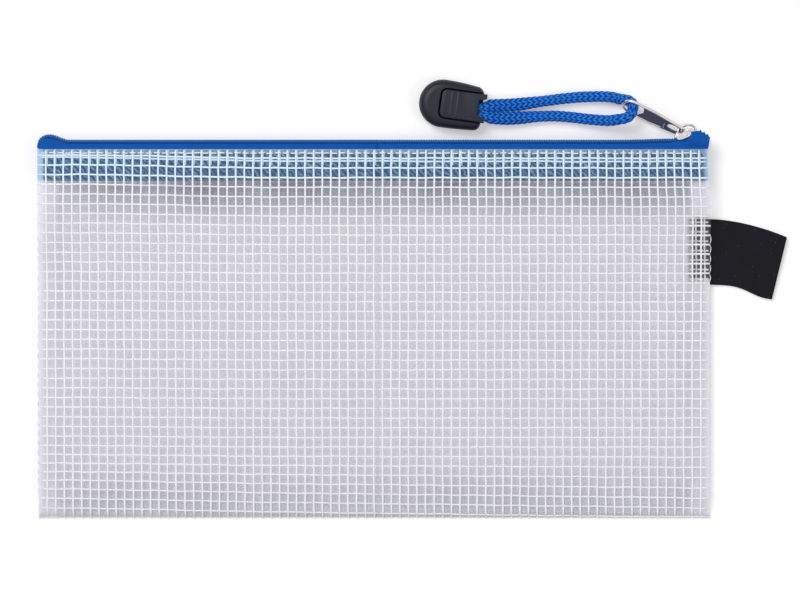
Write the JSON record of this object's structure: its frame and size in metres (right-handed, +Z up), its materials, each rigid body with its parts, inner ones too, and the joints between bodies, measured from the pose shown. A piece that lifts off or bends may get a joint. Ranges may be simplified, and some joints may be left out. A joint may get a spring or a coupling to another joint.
{
  "type": "zipper pouch",
  "caption": "Flat clear mesh-film pouch with a coil zipper along its top edge, a metal slider and puller, a braided cord pull with a plastic end, and a side label.",
  "frame": {"origin": "middle of the back panel, on the face that rests on the table", "axes": "+X along the zipper towards its closed end, +Y from the bottom fold to the zipper, +Z up from the table out of the front panel"},
  "size_m": [0.2569, 0.1503, 0.0078],
  "materials": {
    "mesh_film": "clear film with a square grid of white yarn laid into it",
    "sewing_thread": "white polyester thread",
    "zipper_tape": "royal blue woven zipper tape",
    "zipper_coil": "royal blue nylon coil",
    "silver_metal": "nickel plated die-cast zinc",
    "braided_cord": "bright blue round braid",
    "black_plastic": "fine satin moulded plastic",
    "woven_label": "black woven ribbon"
  },
  "bodies": {
    "root": {"back_panel": "mesh_film", "back_tape": "zipper_tape", "back_coil": "zipper_coil", "back_stitching": "sewing_thread", "left_seam_allowance": "mesh_film", "right_seam_allowance": "mesh_film", "left_side_stitching": "sewing_thread", "right_side_stitching": "sewing_thread", "label": "woven_label"},
    "front": {"front_panel": "mesh_film", "front_tape": "zipper_tape", "front_coil": "zipper_coil", "front_stitching": "sewing_thread"},
    "slider": {"slider_body": "silver_metal", "slider_bridge": "silver_metal"},
    "puller": {"puller": "silver_metal"},
    "pull_loop": {"pull_cord": "braided_cord", "cord_knot": "braided_cord", "cord_end_shell": "black_plastic", "cord_end_clip": "black_plastic"}
  },
  "joints": [
    {"name": "slider_travel", "type": "slide", "parent": "root", "child": "slider", "axis": [-1, 0, 0], "range_m": [0, 0.204], "deforming": ["front_coil", "back_coil"]},
    {"name": "mouth_opening", "type": "hinge", "parent": "root", "child": "front", "pos_m": [0, -0.065, 0.0008], "axis": [1, 0, 0], "range_deg": [0, 12], "deforming": ["front_panel", "front_tape", "front_stitching"]},
    {"name": "puller_swing", "type": "hinge", "parent": "slider", "child": "puller", "pos_m": [0.1056, 0.0681, 0.004], "axis": [0, 0, -1], "range_deg": [0, 90]},
    {"name": "loop_swing", "type": "hinge", "parent": "puller", "child": "pull_loop", "pos_m": [0.0887, 0.0759, 0.0037], "axis": [0, 1, 0], "range_deg": [0, 120]}
  ],
  "couplings": [
    {"joint": "mouth_opening", "follows": "slider_travel", "rad_per_m": 1.0266}
  ]
}
